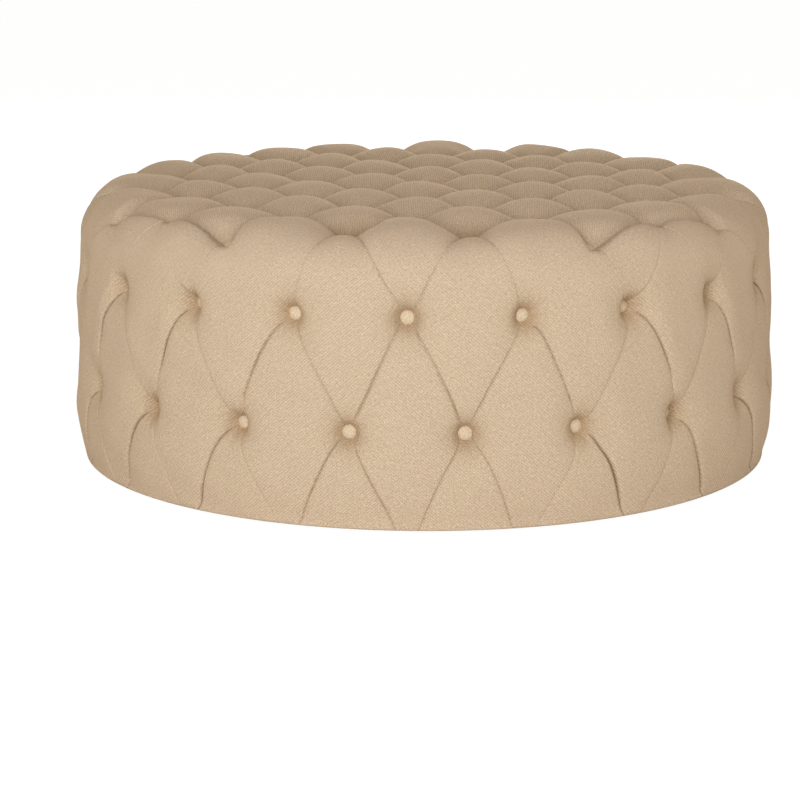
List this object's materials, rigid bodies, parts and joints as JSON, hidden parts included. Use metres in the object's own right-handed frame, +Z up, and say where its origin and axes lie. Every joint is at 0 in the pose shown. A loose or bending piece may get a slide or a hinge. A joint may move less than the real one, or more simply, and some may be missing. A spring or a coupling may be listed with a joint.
{
  "type": "ottoman coffee table",
  "caption": "Round upholstered ottoman coffee table, deep diamond buttoned in natural linen on its top and side, on a hidden drum with low glides.",
  "frame": {"origin": "on the floor, at the centre of the drum", "axes": "+Z up, along the drum's axis; the front is -Y, and the top's rows of diamonds run along X and Y"},
  "size_m": [0.9906, 0.9906, 0.3988],
  "materials": {
    "cover_linen": "natural linen twill, matt, with fibre filling behind it",
    "button_linen": "the same linen, drawn tight over domed buttons",
    "twine": "waxed upholstery twine",
    "tag_plastic": "plain moulded",
    "foam": "open-cell foam",
    "hardboard": "smooth hardboard",
    "plywood": "sanded birch plywood",
    "pine": "planed pine",
    "dust_cloth": "black non-woven cloth",
    "staple_steel": "galvanised wire",
    "glide_plastic": "plain moulded",
    "screw_steel": "zinc plated"
  },
  "bodies": {
    "root": {"cover": "cover_linen", "inner_buttons": "button_linen", "rim_buttons": "button_linen", "upper_buttons": "button_linen", "lower_buttons": "button_linen", "inner_twines": "twine", "rim_twines": "twine", "upper_twines": "twine", "lower_twines": "twine", "inner_tags": "tag_plastic", "rim_tags": "tag_plastic", "upper_tags": "tag_plastic", "lower_tags": "tag_plastic", "seat_foam": "foam", "side_foam": "foam", "wall": "hardboard", "deck": "plywood", "rail_near": "pine", "rail_far": "pine", "cross_rail_near": "pine", "cross_rail_far": "pine", "post_1": "pine", "post_2": "pine", "post_3": "pine", "post_4": "pine", "post_5": "pine", "post_6": "pine", "post_7": "pine", "post_8": "pine", "base_ring": "plywood", "dust_cover": "dust_cloth", "hem_staples": "staple_steel", "glide_1": "glide_plastic", "glide_2": "glide_plastic", "glide_3": "glide_plastic", "glide_4": "glide_plastic", "glide_5": "glide_plastic", "glide_6": "glide_plastic", "glide_screw_1": "screw_steel", "glide_screw_2": "screw_steel", "glide_screw_3": "screw_steel", "glide_screw_4": "screw_steel", "glide_screw_5": "screw_steel", "glide_screw_6": "screw_steel"}
  },
  "joints": []
}
